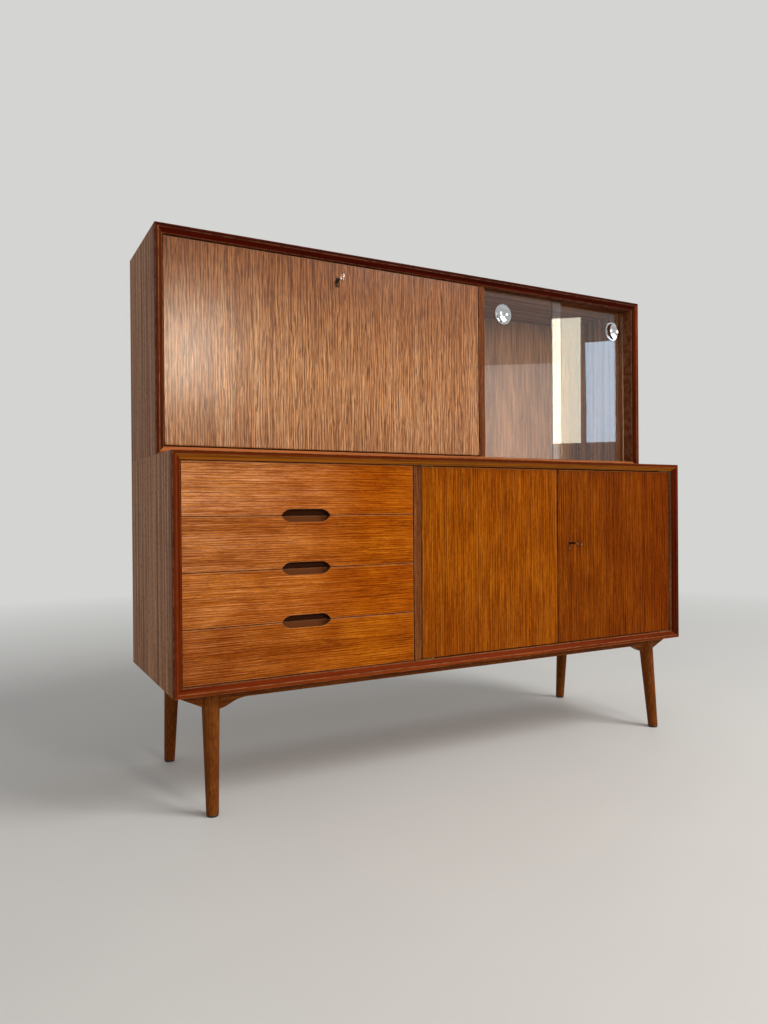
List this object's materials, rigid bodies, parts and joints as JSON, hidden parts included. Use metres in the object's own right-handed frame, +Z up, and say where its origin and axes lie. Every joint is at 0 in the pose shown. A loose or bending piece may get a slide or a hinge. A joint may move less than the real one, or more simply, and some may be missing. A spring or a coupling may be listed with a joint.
{
  "type": "highboard",
  "caption": "Teak highboard: deep lower case with drawers and doors on splayed legs, shallower upper case with a drop flap and sliding glass.",
  "frame": {"origin": "on the floor, at the middle of the whole outline, key included", "axes": "+X to the right seen from the front, -Y out of the front, +Z up"},
  "size_m": [1.5, 0.487, 1.3],
  "materials": {
    "case_teak": "oiled veneer with solid edges",
    "front_teak": "oiled veneer",
    "base_teak": "oiled solid wood",
    "drawer_beech": "clear lacquered",
    "back_ply": "veneered plywood",
    "brass": "aged brass",
    "lock_steel": "plain steel",
    "pane_glass": "clear polished",
    "pull_chrome": "polished",
    "glide_plastic": "dark moulded"
  },
  "bodies": {
    "case": {"lower_bottom_board": "case_teak", "lower_top_board": "case_teak", "lower_left_side": "case_teak", "lower_right_side": "case_teak", "upper_bottom_board": "case_teak", "upper_top_board": "case_teak", "upper_left_side": "case_teak", "upper_right_side": "case_teak", "lower_divider": "case_teak", "upper_divider": "case_teak", "lower_back_board": "back_ply", "upper_back_board": "back_ply", "lower_shelf": "case_teak", "flap_shelf": "case_teak", "shelf_pins": "brass", "drawer_runners": "drawer_beech", "door_pivot_plates": "brass", "flap_pivot_plates": "brass", "flap_strike_plate": "brass", "stay_studs": "brass", "front_left_leg": "base_teak", "front_right_leg": "base_teak", "back_left_leg": "base_teak", "back_right_leg": "base_teak", "foot_glides": "glide_plastic", "front_base_rail": "base_teak", "back_base_rail": "base_teak", "rail_wings": "base_teak", "cross_rails": "base_teak"},
    "flap": {"flap": "front_teak", "flap_bushes": "brass", "flap_lock_case": "lock_steel", "flap_key_plate": "brass", "stay_brackets": "brass"},
    "flap_key": {"flap_key": "brass"},
    "flap_bolt": {"flap_lock_bolt": "lock_steel"},
    "left_stay": {"left_stay_arm": "brass"},
    "right_stay": {"right_stay_arm": "brass"},
    "left_door": {"left_door": "front_teak", "left_door_bushes": "brass", "door_keeper": "brass"},
    "right_door": {"right_door": "front_teak", "right_door_bushes": "brass", "door_lock_case": "lock_steel", "door_key_plate": "brass"},
    "door_key": {"door_key": "brass"},
    "door_bolt": {"door_lock_bolt": "lock_steel"},
    "left_pane": {"left_glass_pane": "pane_glass", "left_glass_pull": "pull_chrome"},
    "right_pane": {"right_glass_pane": "pane_glass", "right_glass_pull": "pull_chrome"},
    "drawer_1": {"drawer_1_front": "front_teak", "drawer_1_box": "drawer_beech"},
    "drawer_2": {"drawer_2_front": "front_teak", "drawer_2_box": "drawer_beech"},
    "drawer_3": {"drawer_3_front": "front_teak", "drawer_3_box": "drawer_beech"},
    "drawer_4": {"drawer_4_front": "front_teak", "drawer_4_box": "drawer_beech"}
  },
  "joints": [
    {"name": "flap_hinge", "type": "hinge", "parent": "case", "child": "flap", "pos_m": [-0.2935, -0.038, 0.809], "axis": [1, 0, 0], "range_deg": [0, 90]},
    {"name": "left_stay_pivot", "type": "hinge", "parent": "flap", "child": "left_stay", "pos_m": [-0.726, -0.0175, 0.93737], "axis": [1, 0, 0], "range_deg": [-45, 0]},
    {"name": "right_stay_pivot", "type": "hinge", "parent": "flap", "child": "right_stay", "pos_m": [0.139, -0.0175, 0.93737], "axis": [1, 0, 0], "range_deg": [-45, 0]},
    {"name": "flap_key_turn", "type": "hinge", "parent": "flap", "child": "flap_key", "pos_m": [-0.2935, -0.0455, 1.2355], "axis": [0, -1, 0], "range_deg": [0, 90]},
    {"name": "flap_bolt_slide", "type": "slide", "parent": "flap", "child": "flap_bolt", "axis": [0, 0, 1], "range_m": [0, 0.009]},
    {"name": "left_door_hinge", "type": "hinge", "parent": "case", "child": "left_door", "pos_m": [-0.134, -0.189, 0.5215], "axis": [0, 0, -1], "range_deg": [0, 90]},
    {"name": "right_door_hinge", "type": "hinge", "parent": "case", "child": "right_door", "pos_m": [0.721, -0.189, 0.5215], "axis": [0, 0, 1], "range_deg": [0, 95]},
    {"name": "door_key_turn", "type": "hinge", "parent": "right_door", "child": "door_key", "pos_m": [0.33775, -0.1965, 0.5565], "axis": [0, -1, 0], "range_deg": [0, 90]},
    {"name": "door_bolt_slide", "type": "slide", "parent": "right_door", "child": "door_bolt", "axis": [-1, 0, 0], "range_m": [0, 0.009]},
    {"name": "left_pane_slide", "type": "slide", "parent": "case", "child": "left_pane", "axis": [1, 0, 0], "range_m": [0, 0.271]},
    {"name": "right_pane_slide", "type": "slide", "parent": "case", "child": "right_pane", "axis": [-1, 0, 0], "range_m": [0, 0.271]},
    {"name": "drawer_1_slide", "type": "slide", "parent": "case", "child": "drawer_1", "axis": [0, -1, 0], "range_m": [0, 0.32]},
    {"name": "drawer_2_slide", "type": "slide", "parent": "case", "child": "drawer_2", "axis": [0, -1, 0], "range_m": [0, 0.32]},
    {"name": "drawer_3_slide", "type": "slide", "parent": "case", "child": "drawer_3", "axis": [0, -1, 0], "range_m": [0, 0.32]},
    {"name": "drawer_4_slide", "type": "slide", "parent": "case", "child": "drawer_4", "axis": [0, -1, 0], "range_m": [0, 0.32]}
  ],
  "couplings": [
    {"joint": "left_stay_pivot", "follows": "flap_hinge", "ratio": -0.5},
    {"joint": "right_stay_pivot", "follows": "flap_hinge", "ratio": -0.5},
    {"joint": "flap_key_turn", "follows": "flap_bolt_slide", "rad_per_m": 174.5},
    {"joint": "door_key_turn", "follows": "door_bolt_slide", "rad_per_m": 174.5}
  ]
}
